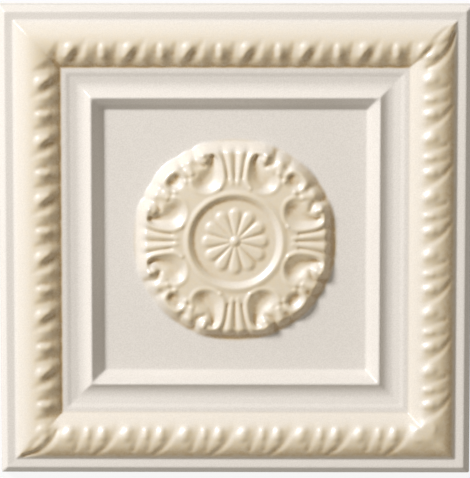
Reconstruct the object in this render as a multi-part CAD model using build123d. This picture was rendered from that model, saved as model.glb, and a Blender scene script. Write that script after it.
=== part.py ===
from build123d import *
from math import cos, radians, sin
import os

# A square relief insert tile, pressed in one piece: a leaf-carved roll frame, a
# raised lip, a sunken field and a scrolled rosette. Millimetres, +Z out of the
# face, +Y towards the tile's top edge, origin at the centre of the back face.

# Tile body
tile_width = 200.0
field_thickness = 6.5
wall_rise = 1.8

# Rim round the outside, by its distance from the tile's edge and its height
# over the field
rim_crest_distance = 2.9
rim_crest_rise = 4.2
rim_end = 6.4
rim_foot_rise = 3.9

# Half-round roll that carries the leaves
roll_apex_distance = 16.3
roll_apex_rise = 9.6
roll_end = 26.2
roll_end_rise = 3.9

# Step, cove and lip inside the roll, and the slope down to the field
step_top_distance = 28.6
step_top_rise = 3.8
step_foot_distance = 30.2
step_foot_rise = 3.2
valley_distance = 32.0
valley_rise = 2.9
cove_bend_distance = 36.0
cove_bend_rise = 3.7
lip_distance = 38.8
lip_width = 0.5
lip_rise = 5.5
slope_break_distance = 42.3
slope_break_rise = 2.6
field_edge_distance = 44.3

# Leaf carving on the roll: each leaf has three lobes, parted by three gouge
# cuts that lean over the roll. A cut is a spindle with pointed ends, and its
# place is a share of the leaf's length.
leaf_count = 6
cut_roll_angle = 22.0
gap_cut_share = 0.0
gap_cut_lean = 33.0
gap_cut_length = 18.5
gap_cut_radius = 2.9
main_cut_share = 0.378
main_cut_lean = 24.0
main_cut_length = 18.0
main_cut_radius = 2.6
side_cut_share = 0.646
side_cut_lean = 12.0
side_cut_length = 16.5
side_cut_radius = 2.2

# The first gap on each side is shorter and ends before the mitre
first_gap_shift = 2.4
first_gap_length = 13.0
first_gap_radius = 2.2

# Corner leaves: on two corners a pair of long cuts runs to the outer corner on
# each side of a thin vein, on the other two the leaf stands between gap cuts
corner_cut_turn = 17.0
corner_cut_offset = 3.9
corner_cut_sink = 0.6
corner_cut_length = 22.0
corner_cut_radius = 2.1
vein_radius = 0.9

# Rosette body: tapered lobes round a tapered disc, under a turned crown
rosette_disc_radius = 35.2
rosette_wall_taper = 7.5
rosette_cone_height = 7.0
spoon_angle = 45.0
scroll_lobe_place = 29.1
scroll_lobe_radius = 7.6
spoon_lobe_place = 29.0
spoon_lobe_radius = 8.2
crown_edge_radius = 46.0
crown_edge_rise = 4.0
ring_foot_radius = 22.4
ring_foot_rise = 4.9
ring_crest_radius = 20.3
ring_crest_rise = 6.1
ring_shoulder_radius = 18.4
ring_shoulder_rise = 4.9
ring_inner_radius = 16.4
dish_floor_rise = 2.8
dish_centre_rise = 3.2

# Flower in the dish
petal_count = 12
petal_inner_place = 3.6
petal_inner_radius = 0.9
petal_inner_rise = 2.9
petal_outer_place = 13.0
petal_outer_radius = 2.9
petal_outer_rise = 1.5
button_radius = 3.2
button_sink = 1.7

# Scroll hollows: a wide bowl that narrows outward along the feathers, inside a
# raised lip, with a curled bead and a small pit at its mouth
bowl_angle = 25.0
bowl_place = 28.8
bowl_radius = 6.8
bowl_depth = 2.6
mouth_angle = 15.0
mouth_place = 35.2
mouth_radius = 2.4
mouth_depth = 1.9
lip_bowl_radius = 6.6
lip_mouth_radius = 3.5
scroll_lip_rise = 5.4
curl_angle = 20.3
curl_place = 36.8
curl_radius = 1.8
curl_rise = 4.1
pit_angle = 25.6
pit_inner_place = 36.0
pit_outer_place = 41.0
pit_radius = 1.3
pit_rise = 4.8

# Feathers on the upright and level axes
feather_angle = 4.2
feather_inner_place = 24.7
feather_inner_radius = 0.5
feather_outer_place = 37.2
feather_outer_radius = 1.6
feather_rise = 3.8

# Spoon leaves on the diagonals: a cup with a bead and a pit on each side
cup_place = 36.2
cup_radius = 4.3
cup_rise = 4.8
cup_hollow_radius = 3.5
cup_hollow_depth = 1.6
bead_angle = 32.2
bead_place = 36.4
bead_radius = 1.7
bead_rise = 3.7
leaf_pit_angle = 35.6
leaf_pit_place = 39.4
leaf_pit_radius = 1.6
leaf_pit_rise = 4.6

# Keyed back for the mortar bed
key_count = 4
key_width = 32.0
key_gap = 10.0
key_depth = 0.8
key_corner_radius = 3.0

# Places that follow from the sizes above
half_width = tile_width / 2
leaf_pitch = (tile_width - 2 * roll_end) / leaf_count
roll_apex_height = field_thickness + roll_apex_rise
roll_foot_height = field_thickness + (rim_foot_rise + roll_end_rise) / 2
roll_half_width = (roll_end - rim_end) / 2
roll_rise = roll_apex_height - roll_foot_height
roll_radius = (roll_half_width**2 + roll_rise**2) / (2 * roll_rise)
roll_centre_height = roll_apex_height - roll_radius
quarter_turns = [0, 90, 180, 270]
diagonal_mirror = Plane(origin=(0, 0, 0), z_dir=(1, 1, 0))


def spindle(length, radius):
    """A body with pointed ends lying along X, its seam on top, as a gouge stroke leaves it."""
    bow = ThreePointArc((-length / 2, 0), (0, radius), (length / 2, 0))
    chord = Line((length / 2, 0), (-length / 2, 0))
    return Rot(90, 0, 0) * revolve(make_face([bow, chord]), Axis.X)


def tapered_bar(start, start_radius, end, end_radius):
    """A round bar between two points whose ends are balls of the given radii."""
    reach = end - start
    length = reach.length
    outline = make_face(
        [
            Line((0, 0), (0, start_radius)),
            Line((0, start_radius), (length, end_radius)),
            Line((length, end_radius), (length, 0)),
            Line((length, 0), (0, 0)),
        ]
    )
    bar = revolve(outline, Axis.X) + Sphere(start_radius) + Pos(length, 0, 0) * Sphere(end_radius)
    sideways = reach.cross(Vector(0, 0, 1))
    return Plane(origin=start, x_dir=reach, z_dir=reach.cross(sideways)).location * bar


def frame_section():
    """Section from the tile's edge to its centre, x as distance from the edge."""

    def place(distance, rise):
        return (distance, 0, field_thickness + rise)

    back_edge = (0, 0, 0)
    wall_top = place(0, wall_rise)
    back_centre = (half_width, 0, 0)
    rim_crest = place(rim_crest_distance, rim_crest_rise)
    roll_foot = place(rim_end, rim_foot_rise)
    roll_apex = place(roll_apex_distance, roll_apex_rise)
    roll_inner_foot = place(roll_end, roll_end_rise)
    step_top = place(step_top_distance, step_top_rise)
    step_foot = place(step_foot_distance, step_foot_rise)
    valley = place(valley_distance, valley_rise)
    cove_bend = place(cove_bend_distance, cove_bend_rise)
    lip_outer = place(lip_distance, lip_rise)
    lip_inner = place(lip_distance + lip_width, lip_rise)
    slope_break = place(slope_break_distance, slope_break_rise)
    field_edge = place(field_edge_distance, 0)
    field_centre = place(half_width, 0)
    edges = [
        Line(back_edge, wall_top),
        Line(wall_top, rim_crest),
        Line(rim_crest, roll_foot),
        ThreePointArc(roll_foot, roll_apex, roll_inner_foot),
        Line(roll_inner_foot, step_top),
        Line(step_top, step_foot),
        Line(step_foot, valley),
        ThreePointArc(valley, cove_bend, lip_outer),
        Line(lip_outer, lip_inner),
        Line(lip_inner, slope_break),
        Line(slope_break, field_edge),
        Line(field_edge, field_centre),
        Line(field_centre, back_centre),
        Line(back_centre, back_edge),
    ]
    return make_face(edges)


def tile_body():
    """Four lengths of the section, mitred at the corners and joined."""
    corner_low = (-half_width, -half_width)
    corner_high = (-half_width, half_width)
    wedge = extrude(make_face(Polyline(corner_low, corner_high, (0, 0), close=True)), tile_width)
    section = Pos(-half_width, -half_width, 0) * frame_section()
    length = extrude(section, amount=tile_width, dir=(0, 1, 0))
    side = length & wedge
    return Part() + [Rot(0, 0, turn) * side for turn in quarter_turns]


def roll_cut(run, lean, length, radius):
    """A gouge cut on the top edge's roll, run mm from the tile's left edge."""
    tilt = radians(cut_roll_angle)
    across = Vector(0, -cos(tilt), -sin(tilt))
    along = Vector(1, 0, 0)
    direction = across * cos(radians(lean)) - along * sin(radians(lean))
    distance = roll_apex_distance + roll_radius * sin(tilt)
    height = roll_centre_height + roll_radius * cos(tilt)
    centre = Vector(-half_width + run, half_width - distance, height)
    outward = Vector(0, -sin(tilt), cos(tilt))
    return Plane(origin=centre, x_dir=direction, z_dir=outward).location * spindle(length, radius)


def leaf_cuts():
    """All the cuts on the top edge's roll, three for each leaf."""
    cuts = [roll_cut(roll_end + first_gap_shift, gap_cut_lean, first_gap_length, first_gap_radius)]
    for leaf in range(leaf_count):
        gap = roll_end + (leaf + gap_cut_share) * leaf_pitch
        main = roll_end + (leaf + main_cut_share) * leaf_pitch
        side = roll_end + (leaf + side_cut_share) * leaf_pitch
        if leaf > 0:
            cuts.append(roll_cut(gap, gap_cut_lean, gap_cut_length, gap_cut_radius))
        cuts.append(roll_cut(main, main_cut_lean, main_cut_length, main_cut_radius))
        cuts.append(roll_cut(side, side_cut_lean, side_cut_length, side_cut_radius))
    return cuts


def corner_cuts():
    """The top right corner's two long cuts and the vein between them."""
    reach = half_width - roll_apex_distance
    crest = Pos(reach, reach, roll_apex_height) * Rot(0, 0, 45)
    cuts = [crest * spindle(corner_cut_length, vein_radius)]
    for hand in [-1, 1]:
        place = crest * Pos(0, hand * corner_cut_offset, -corner_cut_sink)
        cuts.append(place * Rot(0, 0, -hand * corner_cut_turn) * spindle(corner_cut_length, corner_cut_radius))
    return cuts


def rosette_crown():
    """The turned solid under the rosette's top, its seam between two petals."""
    edges = [
        Line((0, 0), (crown_edge_radius, 0)),
        Line((crown_edge_radius, 0), (crown_edge_radius, crown_edge_rise)),
        Line((crown_edge_radius, crown_edge_rise), (ring_foot_radius, ring_foot_rise)),
        ThreePointArc(
            (ring_foot_radius, ring_foot_rise),
            (ring_crest_radius, ring_crest_rise),
            (ring_shoulder_radius, ring_shoulder_rise),
        ),
        Line((ring_shoulder_radius, ring_shoulder_rise), (ring_inner_radius, dish_floor_rise)),
        Line((ring_inner_radius, dish_floor_rise), (0, dish_centre_rise)),
        Line((0, dish_centre_rise), (0, 0)),
    ]
    return Rot(0, 0, 180 / petal_count) * revolve(Plane.XZ * make_face(edges), Axis.Z)


def tapered_lobe(place, radius, angle):
    """One outline lobe of the rosette, wider at the field than at the top."""
    cone = Cone(
        radius + rosette_wall_taper,
        radius,
        rosette_cone_height,
        align=(Align.CENTER, Align.CENTER, Align.MIN),
    )
    return Rot(0, 0, angle) * Pos(place, 0, 0) * cone


def eight_times(shape):
    """One shape of an eighth, with its mirror over the feather, four times round."""
    pair = [shape, shape.mirror(Plane.XZ)]
    return [Rot(0, 0, turn) * half for turn in quarter_turns for half in pair]


def four_times(shape):
    """One shape on a diagonal, four times round."""
    return [Rot(0, 0, turn) * shape for turn in quarter_turns]


def rosette_blank():
    """The scalloped blank: scroll and spoon lobes round the disc."""
    blank = tapered_lobe(0, rosette_disc_radius, 0)
    blank += eight_times(tapered_lobe(scroll_lobe_place, scroll_lobe_radius, curl_angle))
    blank += four_times(tapered_lobe(spoon_lobe_place, spoon_lobe_radius, spoon_angle))
    return blank & rosette_crown()


def crown_rise(radius):
    """Height of the rosette's skirt over the field at a radius."""
    share = (radius - ring_foot_radius) / (crown_edge_radius - ring_foot_radius)
    return ring_foot_rise + share * (crown_edge_rise - ring_foot_rise)


def polar(angle, radius, rise):
    """A point of the rosette by its angle from a feather's axis, radius and rise."""
    turn = radians(angle)
    return Vector(radius * cos(turn), radius * sin(turn), rise)


def flower():
    """Twelve petals round a button, half sunk in the dish."""
    petal = tapered_bar(
        polar(0, petal_inner_place, petal_inner_rise),
        petal_inner_radius,
        polar(0, petal_outer_place, petal_outer_rise),
        petal_outer_radius,
    )
    step = 360 / petal_count
    petals = [Rot(0, 0, index * step) * petal for index in range(petal_count)]
    button = Pos(0, 0, dish_centre_rise - button_sink) * Sphere(button_radius)
    return petals + [button]


def scroll_lip():
    """The raised pad round one scroll hollow."""
    bowl = Pos(polar(bowl_angle, bowl_place, 0)) * CenterArc((0, 0), lip_bowl_radius, 0, 360)
    mouth = Pos(polar(mouth_angle, mouth_place, 0)) * CenterArc((0, 0), lip_mouth_radius, 0, 360)
    return extrude(make_hull([bowl, mouth]), scroll_lip_rise)


def scroll_hollow():
    """The hollow of one scroll: a wide bowl running into a narrow mouth."""
    bowl = polar(bowl_angle, bowl_place, crown_rise(bowl_place) - bowl_depth + bowl_radius)
    mouth = polar(mouth_angle, mouth_place, crown_rise(mouth_place) - mouth_depth + mouth_radius)
    return tapered_bar(bowl, bowl_radius, mouth, mouth_radius)


def scroll_pit():
    """The small pit behind the curl, open at the rosette's edge."""
    start = polar(pit_angle, pit_inner_place, pit_rise)
    end = polar(pit_angle, pit_outer_place, pit_rise)
    return tapered_bar(start, pit_radius, end, pit_radius)


def ball(angle, place, rise, radius):
    """A ball in the rosette."""
    return Pos(polar(angle, place, rise)) * Sphere(radius)


def rosette():
    """The whole rosette, standing on the field."""
    cup = Pos(polar(spoon_angle, cup_place, cup_rise / 2)) * Cylinder(cup_radius, cup_rise)
    cup_hollow_rise = cup_rise - cup_hollow_depth + cup_hollow_radius
    feather = tapered_bar(
        polar(feather_angle, feather_inner_place, feather_rise),
        feather_inner_radius,
        polar(feather_angle, feather_outer_place, feather_rise),
        feather_outer_radius,
    )
    body = rosette_blank()
    body += eight_times(scroll_lip()) + four_times(cup)
    body -= eight_times(scroll_hollow())
    body -= four_times(ball(spoon_angle, cup_place, cup_hollow_rise, cup_hollow_radius))
    body += flower()
    body += eight_times(feather)
    body += eight_times(ball(curl_angle, curl_place, curl_rise, curl_radius))
    body += eight_times(ball(bead_angle, bead_place, bead_rise, bead_radius))
    body -= eight_times(scroll_pit())
    body -= eight_times(ball(leaf_pit_angle, leaf_pit_place, leaf_pit_rise, leaf_pit_radius))
    return Pos(0, 0, field_thickness) * body


def back_keys():
    """Shallow rounded pockets in the back that grip the mortar."""
    pitch = key_width + key_gap
    pocket = extrude(RectangleRounded(key_width, key_width, key_corner_radius), key_depth)
    return [place * pocket for place in GridLocations(pitch, pitch, key_count, key_count)]


def insert_tile():
    """The fired piece: body, leaf carving, rosette and keyed back."""
    half_cuts = leaf_cuts()
    half_cuts += [cut.mirror(diagonal_mirror) for cut in leaf_cuts()]
    half_cuts += corner_cuts()
    cuts = half_cuts + [Rot(0, 0, 180) * cut for cut in half_cuts]
    tile = tile_body() - cuts
    tile += rosette()
    tile -= back_keys()
    return tile


os.makedirs("parts", exist_ok=True)
tile = insert_tile()
print("tile size", tile.bounding_box().size, "volume", round(tile.volume))
export_step(tile, "parts/insert_tile.step")
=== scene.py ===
# %% [markdown]
# A square relief insert tile, pressed and fired in one piece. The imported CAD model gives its
# place and its size. Here the same forms are modelled again with softer edges and finer carving,
# because a glaze rounds every edge and gathers in every hollow. The new mesh takes the place of
# the CAD solid and stays inside its box.

# %% Load the tile's frame
from math import atan2, cos, hypot, pi, radians, sin

import bpy
import numpy as np
from mathutils import Matrix, Vector


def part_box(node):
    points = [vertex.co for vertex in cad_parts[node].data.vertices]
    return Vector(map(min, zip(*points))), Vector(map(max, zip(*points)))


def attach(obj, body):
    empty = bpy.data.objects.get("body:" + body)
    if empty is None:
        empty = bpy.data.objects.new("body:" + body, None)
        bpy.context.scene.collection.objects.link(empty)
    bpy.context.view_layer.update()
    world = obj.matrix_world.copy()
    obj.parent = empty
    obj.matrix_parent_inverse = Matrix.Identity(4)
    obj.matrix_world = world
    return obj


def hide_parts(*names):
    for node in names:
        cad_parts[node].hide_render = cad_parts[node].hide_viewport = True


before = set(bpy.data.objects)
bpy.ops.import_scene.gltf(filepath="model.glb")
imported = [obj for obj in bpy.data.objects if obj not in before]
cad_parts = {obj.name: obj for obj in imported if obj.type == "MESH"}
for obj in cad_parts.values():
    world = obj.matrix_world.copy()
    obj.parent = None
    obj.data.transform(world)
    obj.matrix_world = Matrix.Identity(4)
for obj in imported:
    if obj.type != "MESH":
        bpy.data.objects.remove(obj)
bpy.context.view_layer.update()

MM = 0.001
tile_low, tile_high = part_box("insert_tile")
tile_width = tile_high.x - tile_low.x
half_width = tile_width / 2
# Blender works in metres. The drawings below are in millimetres, so the side is kept in both.
side = tile_width / MM
half_side = side / 2
print("tile", [round(v / MM, 2) for v in (*tile_low, *tile_high)])

# %% [markdown]
# An operator of Blender acts on everything that is selected, and the loaded CAD model is selected.
# So each step first lets go of everything, and then picks its own object, and its own faces by the
# way they look. Vertices are read and written in one go as an array, because a loop over
# hundreds of thousands of them in Python would take minutes.

# %% Helpers for selecting and editing
UP = 1
DOWN = -1
facing = 0.9  # how well a face's normal must agree with the wanted way, from 0 to 1


def pick(item):
    """Select this object only, and make it the active one."""
    bpy.ops.object.select_all(action="DESELECT")
    item.select_set(True)
    bpy.context.view_layer.objects.active = item


def edit(item):
    """Open one object in edit mode with no face selected."""
    pick(item)
    bpy.ops.object.mode_set(mode="EDIT")
    bpy.ops.mesh.select_mode(type="FACE")
    bpy.ops.mesh.select_all(action="DESELECT")


def close_edit():
    """Go back to object mode."""
    bpy.ops.object.mode_set(mode="OBJECT")


def pick_facing(item, way):
    """Select the faces that look up or down, with the object in edit mode."""
    bpy.ops.object.mode_set(mode="OBJECT")
    for face in item.data.polygons:
        face.select = face.normal.z * way > facing
    bpy.ops.object.mode_set(mode="EDIT")


def apply_modifier(item, kind, **settings):
    """Add a modifier, set it and apply it."""
    pick(item)
    modifier = item.modifiers.new(kind.lower(), kind)
    for key, value in settings.items():
        setattr(modifier, key, value)
    bpy.ops.object.modifier_apply(modifier=modifier.name)


def mesh_points(item):
    """The mesh's vertices in millimetres, one row each."""
    flat = np.empty(len(item.data.vertices) * 3)
    item.data.vertices.foreach_get("co", flat)
    return flat.reshape(-1, 3) / MM


def set_points(item, places):
    """Put the vertices at these places, in millimetres."""
    item.data.vertices.foreach_set("co", (places * MM).ravel())
    item.data.update()

# %% [markdown]
# The frame of the tile is a moulding: one section that runs round all four sides and meets itself
# in mitres. From the edge inwards it has a low rim with a groove, a broad roll, a small step, a
# cove, a sharp lip and a slope down to the sunken field. A maker could sweep the section along a
# square. In Blender it is quicker to start from a block as wide as the tile, take its top face, and
# extrude and scale it again and again: every step is one point of the section, and the mitres come
# by themselves.

# %% The moulding's section: millimetres from the tile's edge, and over the field
field_height = 6.5
wall_top = (0.4, 1.8)
rim_crest = (2.9, 4.2)
rim_foot = (6.2, 3.9)
roll_foot_rise = 3.9
roll_start = 6.6
roll_end = 26.2
roll_apex = 16.3
roll_rise = 8.6
roll_steps = 32
step_top = (28.6, 3.8)
step_foot = (30.2, 3.2)
valley = (32.0, 2.9)
cove_middle = (36.6, 3.55)
cove_steps = 8
lip_outer = (38.8, 5.5)
lip_inner = (39.3, 5.5)
slope_break = (42.3, 2.6)
field_edge = (44.3, 0.0)


def arc_through(start, middle, end, steps):
    """Points on the circle arc from start through middle to end."""
    (ax, ay), (bx, by), (cx, cy) = start, middle, end
    d = 2 * (ax * (by - cy) + bx * (cy - ay) + cx * (ay - by))
    ux = (ax**2 + ay**2) * (by - cy) + (bx**2 + by**2) * (cy - ay) + (cx**2 + cy**2) * (ay - by)
    uy = (ax**2 + ay**2) * (cx - bx) + (bx**2 + by**2) * (ax - cx) + (cx**2 + cy**2) * (bx - ax)
    centre = (ux / d, uy / d)
    radius = hypot(ax - centre[0], ay - centre[1])
    first = atan2(ay - centre[1], ax - centre[0])
    last = atan2(cy - centre[1], cx - centre[0])
    mid = atan2(by - centre[1], bx - centre[0])
    if (mid - first) * (last - mid) < 0:
        last += 2 * pi if last < first else -2 * pi
    turns = [first + (last - first) * i / steps for i in range(steps + 1)]
    return [(centre[0] + radius * cos(t), centre[1] + radius * sin(t)) for t in turns]


roll_foot_outer = (roll_start, roll_foot_rise)
roll_foot_inner = (roll_end, roll_foot_rise)
section = [wall_top, rim_crest, rim_foot]
section += arc_through(roll_foot_outer, (roll_apex, roll_rise), roll_foot_inner, roll_steps)
section += [step_top, step_foot]
section += arc_through(valley, cove_middle, lip_outer, cove_steps)
section += [lip_inner, slope_break, field_edge]

roll_half = (roll_end - roll_start) / 2
roll_lift = roll_rise - roll_foot_rise
roll_radius = (roll_half**2 + roll_lift**2) / (2 * roll_lift)
print("section points", len(section), "roll radius", round(roll_radius, 2))

# %% Raise a block through the section
start_height = 4.0
bpy.ops.mesh.primitive_cube_add(size=1, location=(0, 0, 0))
tile = bpy.context.object
tile.name = "fired_tile"
tile.data.name = "fired_tile"
tile.data.transform(Matrix.Translation((0, 0, 0.5)))
tile.data.transform(Matrix.Diagonal((tile_width, tile_width, start_height * MM, 1)))
edit(tile)
pick_facing(tile, UP)
reach = half_side
height = start_height
for distance, rise in section:
    next_reach = half_side - distance
    next_height = field_height + rise
    bpy.ops.mesh.extrude_region_move(
        TRANSFORM_OT_translate={"value": (0, 0, (next_height - height) * MM)}
    )
    scale = next_reach / reach
    bpy.ops.transform.resize(value=(scale, scale, 1))
    reach = next_reach
    height = next_height
close_edit()
print("block faces", len(tile.data.polygons))

# %% [markdown]
# The back isn't seen on a wall, but every pressed wall tile has shallow keys there, which hold the
# mortar. They could be cut away with sixteen boxes. Here the bottom face is inset and divided into
# a grid, each square is inset by half the gap between two keys, and all are pushed in together.

# %% Key the back
key_count = 4
key_pitch = 42.0
key_gap = 10.0
key_depth = 0.8
edit(tile)
pick_facing(tile, DOWN)
bpy.ops.mesh.inset(thickness=(side - key_count * key_pitch) / 2 * MM)
bpy.ops.mesh.subdivide(number_cuts=key_count - 1)
bpy.ops.mesh.inset(thickness=key_gap / 2 * MM, use_individual=True)
bpy.ops.mesh.extrude_region_move(TRANSFORM_OT_translate={"value": (0, 0, key_depth * MM)})
close_edit()
print("faces with keys", len(tile.data.polygons))

# %% [markdown]
# Edit mode leaves a mesh's faces in an order that changes from run to run. The next step splits the
# faces in that order, so its result would differ by a hair each time. The block is small, and can be
# built again with its corners and faces sorted by place, so that every run gives the same tile.

# %% Put the block's faces in order
def put_in_order(item):
    """Build a mesh again with its vertices and faces sorted by place."""
    mesh = item.data
    places = [tuple(vertex.co) for vertex in mesh.vertices]
    order = sorted(range(len(places)), key=places.__getitem__)
    rank = {old: new for new, old in enumerate(order)}
    faces = []
    for face in mesh.polygons:
        corners = [rank[index] for index in face.vertices]
        first = corners.index(min(corners))
        faces.append(corners[first:] + corners[:first])
    mesh.clear_geometry()
    mesh.from_pydata([places[old] for old in order], [], sorted(faces))
    mesh.update()


put_in_order(tile)
print("faces in order", len(tile.data.polygons))

# %% [markdown]
# Clay has no joins, and glaze leaves no sharp edge. The block has faces as long as the tile, and
# nothing can be carved in those. A voxel remesh lays an even skin over the block instead, with a
# vertex every 0.42 mm, which is fine enough for the smallest stroke.

# %% Lay an even skin over the block
voxel = 0.42
apply_modifier(tile, "REMESH", mode="VOXEL", voxel_size=voxel * MM, use_smooth_shade=True)
print("even skin", len(tile.data.polygons))

# %% [markdown]
# Leaves and scrolls like these are carved in the master with round tools, and every pressing after
# that comes out a little softer. So the carving is a sum of strokes. A stroke follows a curve and
# raises or sinks the skin under it, most on its line and fading to nothing at its width. The
# skin's vertices are moved by the sum. Modelled strips laid on the skin would leave seams.

# %% Strokes
unit = 0.4255  # millimetres on the tile for one unit of the carver's drawing
far_away = 9.0  # what nearness says of places that a stroke doesn't reach


def smooth_route(route, steps=6):
    """A curve through the control points (Catmull-Rom), as an array of rows."""
    rows = np.array(route, float)
    rows = np.vstack([2 * rows[0] - rows[1], rows, 2 * rows[-1] - rows[-2]])
    share = np.linspace(0, 1, steps, endpoint=False)[:, None]
    parts = []
    for a, b, c, d in zip(rows, rows[1:], rows[2:], rows[3:]):
        parts.append(
            b
            + share * (c - a) / 2
            + share**2 * (a - 2.5 * b + 2 * c - d / 2)
            + share**3 * ((d - a) / 2 + 1.5 * (b - c))
        )
    return np.vstack([*parts, rows[-2:-1]])


def nearness(u, v, route):
    """Distance over width to a stroke whose route has rows of (u, v, width); 1 is its edge."""
    rows = smooth_route(route)
    best = np.full(u.shape, far_away)
    widest = rows[:, 2].max()
    near = (u > rows[:, 0].min() - widest) & (u < rows[:, 0].max() + widest)
    near &= (v > rows[:, 1].min() - widest) & (v < rows[:, 1].max() + widest)
    nu, nv, found = u[near], v[near], best[near]
    for (au, av, aw), (bu, bv, bw) in zip(rows, rows[1:]):
        du, dv = bu - au, bv - av
        along = np.clip(((nu - au) * du + (nv - av) * dv) / (du * du + dv * dv), 0, 1)
        away = np.hypot(nu - au - along * du, nv - av - along * dv)
        found = np.minimum(found, away / (aw + along * (bw - aw)))
    best[near] = found
    return best


def mound(q, flat=0.0):
    """1 up to the flat share of a stroke's width, 0 at its edge, soft between."""
    share = np.clip((1 - q) / (1 - flat), 0, 1)
    return share * share * (3 - 2 * share)

# %% [markdown]
# Each leaf on the roll is three leaning gouge cuts with swollen flesh between them. Six leaves fill
# a side, and a seventh runs into the mitre. The top and left leaves are cut on the roll's inner
# slope, the low and right ones on its outer slope. One leaf of each kind is drawn and repeated at
# the pitch, where cutting each one by hand would be much work and no nearer to the real tile.

# %% The leaves' drawing: (strength, rows of run along the side, distance from the edge, half width)
leaf_count = 7
leaf_pitch = 58.1
upper_cuts = [
    (
        0.75,
        [(73, 62, 11), (75, 56, 11), (78.5, 50, 9.6), (82, 44, 7.6), (85, 38, 5.6), (88, 33, 3.8)],
    ),
    (0.70, [(97, 62, 9), (97, 56, 9), (97.5, 50, 8), (98.5, 44, 5.8), (99.5, 40, 3.8)]),
    (0.90, [(115, 62, 10), (115, 56, 9.8), (115.5, 50, 8.4), (117, 44, 6.4), (118.5, 38, 4.4)]),
]
upper_depth = ([30, 36, 42, 48, 54, 58.5, 62], [0.0, 0.2, 0.55, 0.9, 0.85, 0.5, 0.0])
upper_bulges = [
    (1.30, [(72.5, 43.5, 9.0), (70.5, 50, 7.0)]),
    (0.30, [(87, 43, 6.0), (86, 51, 6.0)]),
    (0.90, [(104.5, 43, 7.5), (104.5, 49, 6.5)]),
]
lower_cuts = [
    (
        1.00,
        [
            (76, 56, 7), (78, 48, 7), (81, 41, 6.6), (84, 35, 6),
            (89, 29, 5.6), (94, 24, 5), (99, 20, 3.6),
        ],
    ),
    (0.60, [(98, 52, 6), (99.5, 45, 6), (101, 38, 5.8), (103, 32, 5.4), (105, 26, 4.6)]),
    (0.70, [(112.5, 52, 6), (113.5, 45, 6), (115, 38, 5.8), (117, 32, 5.4), (119, 26, 4.6)]),
]
lower_depth = (
    [17, 21, 26, 33, 38, 44, 50, 56, 60],
    [0.0, 0.2, 0.48, 0.52, 0.5, 0.4, 0.15, 0.05, 0.0],
)
lower_bulges = [
    (0.80, [(68.5, 40, 8.0), (66, 46, 7.0)]),
    (0.75, [(92, 40, 6.5), (90.5, 46, 6.0)]),
    (0.45, [(106.5, 40, 5.0), (106, 46, 5.0)]),
]
corner_cut = [
    (428.0, 45, 4.4), (431.5, 38, 5.6), (438.0, 30.5, 6.2), (447.0, 24, 5.6), (461.0, 19, 3.2),
]
corner_depth = 0.75
# How far the leaves of each side are shifted along it, in drawing units.
top_phase = 0.0
left_phase = -4.0
low_phase = 15.0
right_phase = 19.5


def strongest(strokes, leaf, run, distance):
    """The strongest of a leaf's strokes at each place, with the leaf moved to its number's place."""
    most = np.zeros(run.shape)
    for strength, route in strokes:
        moved = [(u + leaf * leaf_pitch, v, width) for u, v, width in route]
        most = np.maximum(most, strength * mound(nearness(run, distance, moved)))
    return most


def leaf_relief(run, distance, is_upper):
    """How far the roll's leaves stand over the plain roll, in millimetres."""
    if is_upper:
        cuts, depth, bulges = upper_cuts, upper_depth, upper_bulges
    else:
        cuts, depth, bulges = lower_cuts, lower_depth, lower_bulges
    cut = np.zeros(run.shape)
    swell = np.zeros(run.shape)
    for leaf in range(leaf_count):
        cut = np.maximum(cut, strongest(cuts, leaf, run, distance))
        swell = np.maximum(swell, strongest(bulges, leaf, run, distance))
    if is_upper:
        # The last cut of the leaf before the first one still shows in the corner.
        cut = np.maximum(cut, strongest(upper_cuts[2:], -1, run, distance))
    corner = corner_depth * mound(nearness(run, distance, corner_cut))
    return swell * np.clip(1 - cut, 0, 1) - np.maximum(np.interp(distance, *depth) * cut, corner)


print("strokes in a leaf", len(upper_cuts + upper_bulges), len(lower_cuts + lower_bulges))

# %% [markdown]
# The four sides meet in mitres. A point near a mitre lies on two sides at once, so it takes a
# share of each side's carving, and the strokes run into each other without a step. The relief is
# cut square to the roll's round, so on the roll's flanks it goes a little deeper straight down.

# %% Carve the leaves
points = mesh_points(tile)
from_left = points[:, 0] + half_side
from_right = half_side - points[:, 0]
from_low = points[:, 1] + half_side
from_top = half_side - points[:, 1]
# The sides are counted top, left, low, right, so the first two are the upper kind.
to_sides = np.stack([from_top, from_left, from_low, from_right])
runs = np.stack([from_left, from_top, from_right, from_low])
phases = np.array([top_phase, left_phase, low_phase, right_phase])
upper_sides = 2
order = np.argsort(to_sides, axis=0)
index = np.arange(len(points))
distance = to_sides[order[0], index]
gap = to_sides[order[1], index] - distance
on_face = points[:, 2] > field_height + 1.0
carved = on_face & (distance > roll_start) & (distance < step_foot[0])
mitre_blend = 3.0
steepest = 0.75  # sine of the steepest lean that the relief is corrected for
relief = np.zeros(len(points))
for rank, where in ((0, carved), (1, carved & (gap < mitre_blend))):
    nearest = order[rank][where]
    run = runs[nearest, index[where]] / unit + phases[nearest]
    near_share = 0.5 + 0.5 * mound(1 - gap[where] / mitre_blend)
    share = near_share if rank == 0 else 1 - near_share
    reach_in = to_sides[nearest, index[where]] / unit
    for is_upper in (True, False):
        chosen = (nearest < upper_sides) == is_upper
        part = share[chosen] * leaf_relief(run[chosen], reach_in[chosen], is_upper)
        relief[np.flatnonzero(where)[chosen]] += part
lean = np.arcsin(np.clip((distance[carved] - roll_apex) / roll_radius, -steepest, steepest))
points[carved, 2] += relief[carved] / np.sqrt(np.cos(lean))
print("leaf relief", round(relief.min(), 2), round(relief.max(), 2))

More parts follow.
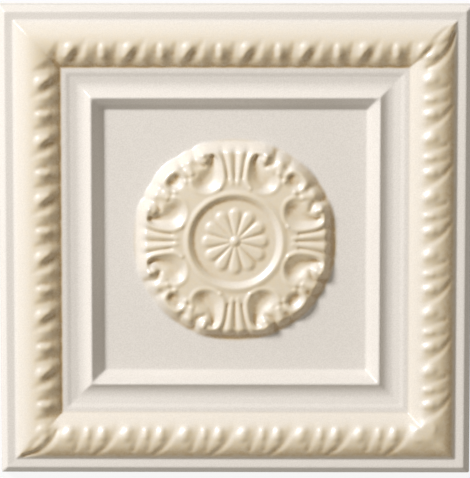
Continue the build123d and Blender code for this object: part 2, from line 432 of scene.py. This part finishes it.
# %% Fill the low right corner, where the last leaf ends in a round tip
tip_place = 47.0
tip_radius = 21.0
tip_rise = 1.5
tip = np.hypot(from_low / unit - tip_place, from_right / unit - tip_place)
points[carved, 2] += tip_rise * mound(tip[carved] / tip_radius)
print("points under the tip", int((tip[carved] < tip_radius).sum()))

# %% [markdown]
# The rosette repeats eight times: one eighth and its mirror, four times round. So it is drawn as
# one eighth, in polar places: degrees from the axis of a feather, and radius in drawing units. A
# ring and a sunk dish lie round the flower, scrolled hollows and feathers fill the band outside
# them, and the outline is broken by small beads and cups.

# %% The rosette's drawing: (amount in mm, flat share, rows of degrees, radius, half width)
plateau = ([0, 55, 75, 90, 100], [4.9, 4.9, 4.7, 4.3, 4.1])
dish = ([0, 41, 43.5, 46, 47.5, 49.5, 52], [3.9, 3.9, 4.5, 5.3, 5.5, 5.2, 4.9])
rim_angles = [0, 7, 12, 18, 22, 25.5, 29.5, 34.5, 40, 45]
rim_top = [91, 91.5, 93, 95, 94.5, 91.5, 93.5, 93, 95.5, 96]
rim_base = [100, 100, 101.5, 103.5, 103.5, 102, 103, 102.5, 104, 104.5]
rim_softness = 3
lowest_rise = 0.6
raised = [
    (
        0.5,
        0.1,
        [
            (16, 55, 3.2), (11, 61, 3.6), (9.3, 70, 4.0), (9.3, 80, 4.2),
            (11.5, 88, 4.4), (16.5, 92.5, 4.4), (21, 91.5, 3.8),
        ],
    ),
    (1.0, 0.1, [(20.5, 91, 4.6), (20.3, 86.5, 5.0)]),
    (
        0.35,
        0.1,
        [
            (16, 55, 2.6), (24, 53.5, 3.2), (32, 57, 3.6),
            (37.5, 64, 3.8), (37, 73, 3.6), (32.5, 79, 3.4),
        ],
    ),
    (0.4, 0.1, [(33, 81, 3.8), (31.5, 86, 4.4), (30.5, 91, 4.4)]),
    (0.35, 0.1, [(2.8, 58, 3.0), (3.6, 68, 4.0), (4.2, 80, 5.0), (4.5, 90, 5.2)]),
    (0.5, 0.15, [(39.5, 77, 3.4), (38.5, 84, 4.2), (40, 91, 4.6), (45, 94, 4.8)]),
]
sunk = [
    (1.6, 0.1, [(26.5, 66, 14.0), (21.0, 69, 13.0), (17.5, 75, 10.0), (14.8, 82, 6.4), (14.6, 87, 4.0)]),
    (0.75, 0.05, [(22.5, 81, 3.8), (25.5, 85, 4.8), (26, 90, 5.0), (24.5, 97, 4.6)]),
    (0.7, 0.05, [(35.3, 90, 5.2), (35.6, 95, 4.4)]),
    (1.3, 0.1, [(45, 83, 9.5), (42.5, 84, 8.0)]),
    (0.35, 0.05, [(31, 77.5, 3.4), (35, 77, 3.6), (38.5, 80.5, 3.0)]),
    (0.5, 0.05, [(0, 62, 2.6), (0, 75, 3.6), (0, 93, 4.4)]),
    (0.55, 0.05, [(6.3, 64, 2.6), (6.8, 76, 3.6), (7.4, 86, 4.0), (8.4, 94, 4.4)]),
]
petal = [(0, 8, 2.4), (0, 16, 4.8), (0, 24, 6.8), (0, 27, 7.2)]
petal_count = 12
petal_rise = 0.78
petal_flat = 0.35
button_radius = 8.5
button_rise = 1.5
button_flat = 0.1


def flat_place(angle, radius):
    """A polar place as (across, outward)."""
    return radius * np.sin(np.radians(angle)), radius * np.cos(np.radians(angle))


def rosette_relief(x, y):
    """The rosette's height over the field, in millimetres, at places in millimetres."""
    radius = np.hypot(x, y) / unit
    turn = np.degrees(np.arctan2(x, y))
    angle = np.abs((turn + 45) % 90 - 45)
    across, outward = flat_place(angle, radius)
    height = np.where(radius < dish[0][-1], np.interp(radius, *dish), np.interp(radius, *plateau))
    for amount, flat, route in raised:
        rows = [(*flat_place(a, r), width) for a, r, width in route]
        height += amount * mound(nearness(across, outward, rows), flat)
    for amount, flat, route in sunk:
        rows = [(*flat_place(a, r), width) for a, r, width in route]
        height -= amount * mound(nearness(across, outward, rows), flat)
    petal_step = 360 / petal_count
    petal_angle = (turn + petal_step / 2) % petal_step - petal_step / 2
    petal_places = flat_place(petal_angle, radius)
    height += petal_rise * mound(nearness(*petal_places, petal), petal_flat)
    height += button_rise * mound(radius / button_radius, button_flat)
    top = np.interp(angle, rim_angles, rim_top)
    base = np.interp(angle, rim_angles, rim_base)
    edge = mound((radius - top + rim_softness) / (base - top + rim_softness))
    return np.maximum(height, lowest_rise) * edge


print("strokes in an eighth", len(raised) + len(sunk))

# %% Raise the rosette out of the field
rosette_reach = 106 * unit
near_rosette = np.hypot(points[:, 0], points[:, 1]) < rosette_reach
on_field = (points[:, 2] > field_height - 1) & near_rosette
points[on_field, 2] += rosette_relief(points[on_field, 0], points[on_field, 1])
print("rosette top", round(points[on_field, 2].max(), 2))

# %% Keep the swollen leaves under the height of the CAD model
crown_start = 15.5
crown_room = 0.55
over = np.maximum(points[:, 2] - crown_start, 0)
points[:, 2] -= over - crown_room * np.tanh(over / crown_room)
set_points(tile, points)
print("highest point", round(points[:, 2].max(), 2))

# %% [markdown]
# Molten glaze pulls every ridge a little rounder and fills every crease. The Smooth modifier does
# the same to the skin: a few rounds everywhere, a few more on the carving, and many on the
# corners of the lip and the slope, which the glaze has rounded most. Then the skin is thinned:
# flat parts need few triangles, so Decimate takes them from there and leaves the carving alone.

# %% Soften and thin the skin
pull = 0.5  # how far one round moves a vertex towards the middle of its neighbours
rounds_everywhere = 4
rounds_on_carving = 4
rounds_at_corners = 14
corner_reach = 3.5
outside_lip = lip_outer[0] - 1
inside_slope = field_edge[0] + 2
at_corner = on_face & (distance > outside_lip) & (distance < inside_slope) & (gap < corner_reach)
for group_name, members in (("carving", carved | on_field), ("corners", at_corner)):
    group = tile.vertex_groups.new(name=group_name)
    group.add([int(i) for i in np.flatnonzero(members)], 1.0, "REPLACE")
apply_modifier(tile, "SMOOTH", factor=pull, iterations=rounds_everywhere)
apply_modifier(tile, "SMOOTH", factor=pull, iterations=rounds_on_carving, vertex_group="carving")
apply_modifier(tile, "SMOOTH", factor=pull, iterations=rounds_at_corners, vertex_group="corners")
tile.vertex_groups.clear()
triangles = 190000
apply_modifier(tile, "TRIANGULATE")
kept_share = triangles / len(tile.data.polygons)
apply_modifier(tile, "DECIMATE", decimate_type="COLLAPSE", ratio=kept_share)
print("thinned skin", len(tile.data.polygons))

# %% [markdown]
# The glaze is white on the mouldings and the field, and cream on the roll and the rosette. Brown
# painted shade darkens the carving: it lies in the hollows and on the slopes that face away from the
# lamp at the high left, where shade falls. So the hollows are measured: the tile's heights are laid
# on a grid, blurred, and compared with themselves. What lies lower than its surroundings takes painted
# shade. The slopes are measured too, and slopes that fall away to the low right, away from the lamp,
# take more of it. Painting all this by hand would miss the carving by a little.

# %% Measure the hollows
cell = 0.4
cells = int(round(side / cell))
ray_start = 0.1
fine_spread = 0.9
broad_spread = 2.6
slope_spread = 0.5
# The way away from the lamp at the high left: slopes that fall this way get painted shade.
away_from_lamp = radians(-40)


def height_map(item):
    """Heights of the face on a grid, found by dropping a ray in each cell."""
    depsgraph = bpy.context.evaluated_depsgraph_get()
    shape = item.evaluated_get(depsgraph)
    found = np.zeros((cells, cells))
    down = Vector((0, 0, -1))
    for row in range(cells):
        y = (row + 0.5) * cell * MM - half_width
        for column in range(cells):
            x = (column + 0.5) * cell * MM - half_width
            hit, place, _, _ = shape.ray_cast(Vector((x, y, ray_start)), down)
            found[row, column] = place.z / MM if hit else 0
    return found


def blurred(values, spread):
    """A Gaussian blur, spread in millimetres, one axis after the other."""
    reach_cells = int(3 * spread / cell) + 1
    steps = np.arange(-reach_cells, reach_cells + 1) * cell
    weights = np.exp(-0.5 * (steps / spread) ** 2)
    weights /= weights.sum()
    padded = np.pad(values, reach_cells, mode="edge")
    padded = np.apply_along_axis(np.convolve, 0, padded, weights, "valid")
    return np.apply_along_axis(np.convolve, 1, padded, weights, "valid")


heights = height_map(tile)
fine_hollow = blurred(heights, fine_spread) - heights
broad_hollow = blurred(heights, broad_spread) - heights
slope_y, slope_x = np.gradient(blurred(heights, slope_spread), cell)
# How steeply each place falls away from the lamp, which the glaze turns into painted shade.
shade_side_slope = -(slope_x * cos(away_from_lamp) + slope_y * sin(away_from_lamp))
print("fine hollows", round(fine_hollow.max(), 2), "broad hollows", round(broad_hollow.max(), 2))

# %% Write the hollows and the slopes on the mesh
last_cell = cells - 1.001  # just inside the grid, so that each point has four cells around it


def on_points(grid, places):
    """The grid's value at each point, from the four cells around it."""
    column = np.clip((places[:, 0] + half_side) / cell - 0.5, 0, last_cell)
    row = np.clip((places[:, 1] + half_side) / cell - 0.5, 0, last_cell)
    left, low = column.astype(int), row.astype(int)
    right_share, high_share = column - left, row - low
    below = grid[low, left] * (1 - right_share) + grid[low, left + 1] * right_share
    above = grid[low + 1, left] * (1 - right_share) + grid[low + 1, left + 1] * right_share
    return below * (1 - high_share) + above * high_share


# The slope away from the lamp is written too, for the painted shade.
measured = {"fine_hollow": fine_hollow, "broad_hollow": broad_hollow, "shade_side_slope": shade_side_slope}
points = mesh_points(tile)
for name, grid in measured.items():
    layer = tile.data.attributes.new(name, "FLOAT", "POINT")
    layer.data.foreach_set("value", on_points(grid, points).astype(np.float32))
print("attributes", *measured)

# %% [markdown]
# A material is a tree of nodes, and its maths is a chain of Math nodes that is hard to read when
# it is wired one by one. So a small class wraps a socket, and an ordinary sum or product in Python
# adds the node that works it out. A board holds the tree and has the one method that adds a node.

# %% Shader maths as expressions
class Sum:
    """A socket in an expression: arithmetic on it adds the Math nodes."""

    def __init__(self, board, socket):
        self.board = board
        self.socket = socket

    def __add__(self, other):
        return self.board.math("ADD", self, other)

    def __sub__(self, other):
        return self.board.math("SUBTRACT", self, other)

    def __mul__(self, other):
        return self.board.math("MULTIPLY", self, other)

    def __radd__(self, other):
        return self.board.math("ADD", other, self)

    def __rsub__(self, other):
        return self.board.math("SUBTRACT", other, self)

    def __rmul__(self, other):
        return self.board.math("MULTIPLY", other, self)

    def above(self, low, high):
        """0 under low, 1 over high, smooth between."""
        return self.board.node(
            "ShaderNodeMapRange",
            {"interpolation_type": "SMOOTHSTEP"},
            {"Value": self, "From Min": low, "From Max": high, "To Min": 0.0, "To Max": 1.0},
            "Result",
        )


class Board:
    """A material's node tree."""

    def __init__(self, name):
        self.material = bpy.data.materials.new(name)
        self.material.use_nodes = True
        self.tree = self.material.node_tree
        self.tree.nodes.clear()

    def node(self, kind, settings=None, inputs=None, output=0):
        """Add a node, set it, fill its sockets, and give one of its outputs."""
        made = self.tree.nodes.new(kind)
        for key, value in (settings or {}).items():
            setattr(made, key, value)
        for key, value in (inputs or {}).items():
            socket = made.inputs[key]
            if isinstance(value, Sum):
                self.tree.links.new(value.socket, socket)
            else:
                socket.default_value = value
        return Sum(self, made.outputs[output]) if made.outputs else None

    def math(self, operation, *values):
        """Add a Math node that works on these values."""
        return self.node("ShaderNodeMath", {"operation": operation}, dict(enumerate(values)))

    def mix(self, share, low, high):
        """A colour between two others."""
        colours = {0: share, 6: low, 7: high}
        return self.node("ShaderNodeMix", {"data_type": "RGBA", "blend_type": "MIX"}, colours, 2)

    def noise(self, spot, scale, detail, roughness):
        """A noise pattern that is fixed to the piece, scale in waves to the metre."""
        wanted = {"Vector": spot, "Scale": scale, "Detail": detail, "Roughness": roughness}
        return self.node("ShaderNodeTexNoise", None, wanted)

    def attribute(self, name):
        """A value that was written on the mesh."""
        return self.node("ShaderNodeAttribute", {"attribute_name": name}, None, "Fac")

# %% [markdown]
# First the glaze is told where it is. Object coordinates give the distance from the tile's edge,
# which marks the roll, and from its middle, which marks the rosette. The measured attributes
# give the slopes and the hollows. Two noises give the mottle of a hand-dipped glaze: one of a few
# millimetres for its clouds, and one of half a millimetre for its grain.

# %% Where the glaze is cream, and where the painted shade lies
cream_starts = (6.2, 9.0)
cream_ends = (25.8, 27.4)
rosette_ends = (41.5, 44.0)
inner_foot = (20.0, 25.0)
outer_foot = (9.0, 14.5)
outer_foot_weight = 2.0
clouds = (0.3, 0.7)  # the part of a noise's range that shows
cloud_share = 0.6

# The glaze material carries painted shade besides its cream and white.
glaze = Board("cream_glaze_painted_shade")
spot = glaze.node("ShaderNodeTexCoord", None, None, "Object")
axes = [glaze.node("ShaderNodeSeparateXYZ", None, {0: spot}, name) for name in ("X", "Y", "Z")]
x, y, z = (value * (1 / MM) for value in axes)
outwards = glaze.math("MAXIMUM", glaze.math("ABSOLUTE", x), glaze.math("ABSOLUTE", y))
from_edge = half_side - outwards
from_middle = glaze.math("SQRT", x * x + y * y)
fine = glaze.attribute("fine_hollow")
broad = glaze.attribute("broad_hollow")
# The slope away from the lamp, which steers the painted shade and painted light below.
away_slope = glaze.attribute("shade_side_slope")
mottle = glaze.noise(spot, 420.0, 4.0, 0.6)
grain = glaze.noise(spot, 1900.0, 2.0, 0.6)

on_roll = from_edge.above(*cream_starts) * (1 - from_edge.above(*cream_ends))
on_rosette = 1 - from_middle.above(*rosette_ends)
cream_zone = glaze.math("MAXIMUM", on_roll, on_rosette)
at_inner_foot = from_edge.above(*inner_foot)
at_outer_foot = 1 - from_edge.above(*outer_foot)
# Painted shade along the roll's inner and outer feet, where the roll shades them.
foot_shade = on_roll * (at_inner_foot + outer_foot_weight * at_outer_foot)
patch = mottle.above(*clouds) * cloud_share + grain.above(*clouds) * (1 - cloud_share)
print("nodes for the places", len(glaze.tree.nodes))

# %% [markdown]
# Then it gets its colours. Cream is painted thicker on slopes that face away from the lamp and
# thinner on lit slopes, which come out nearly white: painted shade and painted light. Brown painted
# shade lies deepest in the hollows and along the roll's feet, most where they face away from the lamp.
# Low on the walls and on the back the glaze stops in a ragged line and bare fired clay shows, dull
# where the glaze is glossy.

# %% The glaze's colours
white = (0.735, 0.695, 0.655, 1)
pale = (0.825, 0.785, 0.745, 1)
cream = (0.81, 0.685, 0.48, 1)
# The brown of the painted shade.
shade_brown = (0.55, 0.385, 0.20, 1)
biscuit = (0.70, 0.58, 0.47, 1)

# Painted shade and light: more cream where a slope faces away from the lamp, nearly white where it faces
# it.
cream_in_shade = away_slope.above(-0.5, 0.35)
cream_and_shade_share = cream_zone * (0.2 + 0.72 * cream_in_shade) * (0.72 + 0.56 * patch)
# Brown painted shade: on slopes that face away from the lamp, and in the hollows and along the roll's
# feet.
shade_on_slopes = away_slope.above(0.05, 0.85) * 0.45
shade_in_hollows = fine.above(-0.02, 0.22) * 0.75 + broad.above(0.0, 1.1) * 0.2 + foot_shade * 0.15
painted_shade = (shade_on_slopes + shade_in_hollows * away_slope.above(-0.3, 0.35)) * cream_zone * (0.5 + patch)
speckled = glaze.mix(grain.above(*clouds), white, pale)
glazed = glaze.mix(cream_and_shade_share, speckled, cream)
shaded_colour = glaze.mix(glaze.math("MINIMUM", painted_shade, 1.0), glazed, shade_brown)

glaze_line = (2.6, 3.4)  # millimetres over the back
line_wander = 2.2
bare = 1 - (z + line_wander * mottle).above(*glaze_line)
colour = glaze.mix(bare, shaded_colour, biscuit)
print("nodes with the colours", len(glaze.tree.nodes))

# %% The glaze's gloss, and the tile dressed in it
peel = glaze.noise(spot, 800.0, 2.0, 0.5)
ripple = {"Strength": 0.35, "Distance": 0.00006, "Height": peel + bare * grain}
shader = glaze.node(
    "ShaderNodeBsdfPrincipled",
    None,
    {
        "Base Color": colour,
        "Roughness": 0.38 + 0.5 * bare,
        "Coat Weight": 0.6 - 0.6 * bare,
        "Coat Roughness": 0.13,
        "Normal": glaze.node("ShaderNodeBump", None, ripple),
    },
)
glaze.node("ShaderNodeOutputMaterial", None, {"Surface": shader})
tile.data.materials.clear()
tile.data.materials.append(glaze.material)
pick(tile)
bpy.ops.object.shade_smooth()
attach(tile, "root")
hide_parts("insert_tile")
print("glaze nodes", len(glaze.tree.nodes))

# %% [markdown]
# The tile lies on a sheet of white paper. To the camera the paper glows almost white, and to the
# tile it is only a pale sheet, so that it throws no extra light on it. The sheet has a window under
# the tile, a little smaller than the tile, so that the keyed back can be looked at from below.

# %% The paper
floor_size = 6.0
window_margin = 1.0
glow_share = 0.9
bpy.ops.mesh.primitive_plane_add(size=floor_size, location=(0, 0, 0))
floor = bpy.context.object
floor.name = "studio_floor"
edit(floor)
bpy.ops.mesh.select_all(action="SELECT")
bpy.ops.mesh.inset(thickness=floor_size / 2 - half_width + window_margin * MM)
bpy.ops.mesh.delete(type="FACE")
close_edit()

paper = Board("white_paper")
sheet = paper.node(
    "ShaderNodeBsdfPrincipled", None, {"Base Color": (0.7, 0.7, 0.69, 1), "Roughness": 0.9}
)
glow = paper.node("ShaderNodeEmission", None, {"Color": (1, 1, 1, 1), "Strength": 1.0})
seen = paper.node("ShaderNodeLightPath", None, None, "Is Camera Ray")
both = paper.node("ShaderNodeMixShader", None, {0: seen * glow_share, 1: sheet, 2: glow})
paper.node("ShaderNodeOutputMaterial", None, {"Surface": both})
floor.data.materials.append(paper.material)
print("floor faces", len(floor.data.polygons))

# %% [markdown]
# The photographer looked almost straight down on the tile, from a little beyond its top edge. The
# camera stands there, and its lens is as long as makes the tile fill the picture. One big lamp
# stands at the high left, low enough to draw out the relief, and a warm dim room fills the shadows.

# %% The camera
camera_distance = 1.5
camera_tilt = radians(7.0)
camera_side = radians(-0.5)
picture_height = 478
tile_pixels = 472.2
aim = Vector((-0.1 * MM, 0.65 * MM, 8 * MM))
bpy.ops.object.camera_add()
camera = bpy.context.object
scene = bpy.context.scene
scene.camera = camera
back = Vector((-sin(camera_side), sin(camera_tilt), cos(camera_tilt))).normalized()
right = (-back).cross(Vector((0, 1, 0))).normalized()
up = right.cross(-back)
camera.location = aim + back * camera_distance
camera.rotation_mode = "QUATERNION"
camera.rotation_quaternion = Matrix((right, up, back)).transposed().to_quaternion()
view_height = tile_width * picture_height / tile_pixels
camera.data.sensor_fit = "AUTO"
camera.data.lens = camera.data.sensor_width * camera_distance / view_height
camera.data.clip_start = 0.01
camera.data.clip_end = 20
print("lens", round(camera.data.lens, 1))

# %% The lamp and the room
key_azimuth = radians(140)
key_elevation = radians(38)
key_distance = 3.0
level = cos(key_elevation)
towards = Vector((cos(key_azimuth) * level, sin(key_azimuth) * level, sin(key_elevation)))
bpy.ops.object.light_add(type="AREA", location=towards * key_distance)
key = bpy.context.object
key.data.size = 0.8
key.data.energy = 97
key.rotation_mode = "QUATERNION"
key.rotation_quaternion = towards.to_track_quat("Z", "Y")

world = bpy.data.worlds.new("soft_room")
scene.world = world
world.use_nodes = True
room = world.node_tree.nodes["Background"]
room.inputs["Color"].default_value = (1.0, 0.93, 0.80, 1)
room.inputs["Strength"].default_value = 0.30
scene.view_settings.view_transform = "Standard"
print("lamp at", [round(v, 2) for v in key.location])
